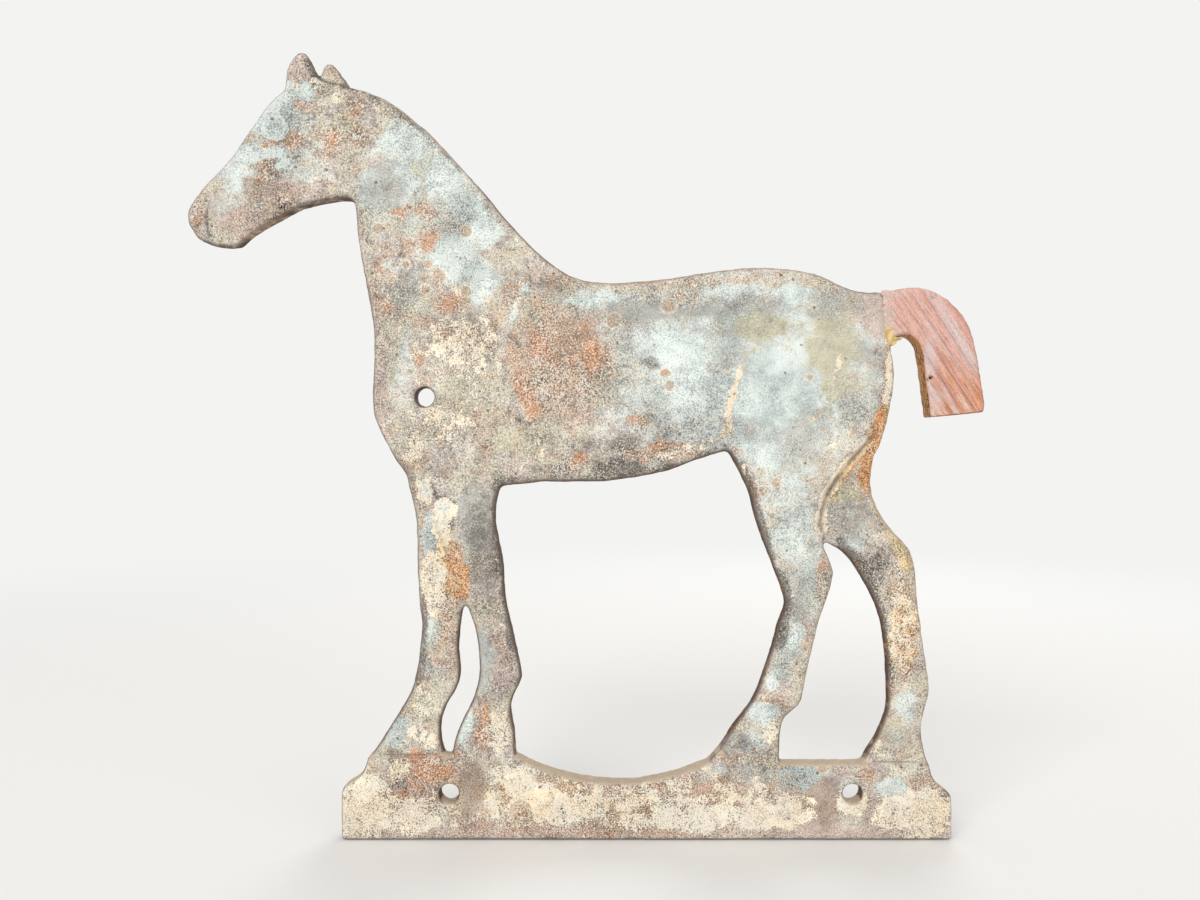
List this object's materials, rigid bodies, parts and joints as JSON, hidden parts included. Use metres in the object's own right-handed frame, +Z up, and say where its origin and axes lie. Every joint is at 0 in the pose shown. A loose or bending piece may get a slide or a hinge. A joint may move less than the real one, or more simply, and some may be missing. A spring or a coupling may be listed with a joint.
{
  "type": "windmill weight",
  "caption": "Flat cast-iron counterweight of a windmill, in the shape of a standing horse on a bolted base, with a carved wooden tail pinned and glued to its dock.",
  "frame": {"origin": "middle of the base's underside, half way along its length and in the middle of its thickness", "axes": "+Z up from the base to the ears, -X towards the nose, -Y towards the show side"},
  "size_m": [0.4249, 0.013, 0.42],
  "materials": {
    "weathered_iron": "dull sand-cast iron with worn grey-white paint and rust",
    "painted_wood": "matt red-brown paint on carved wood",
    "pin_steel": "plain steel",
    "glue": "hardened yellow glue, slightly glossy"
  },
  "bodies": {
    "root": {"horse_casting": "weathered_iron", "tail": "painted_wood", "tail_pins": "pin_steel", "tail_glue": "glue"}
  },
  "joints": []
}
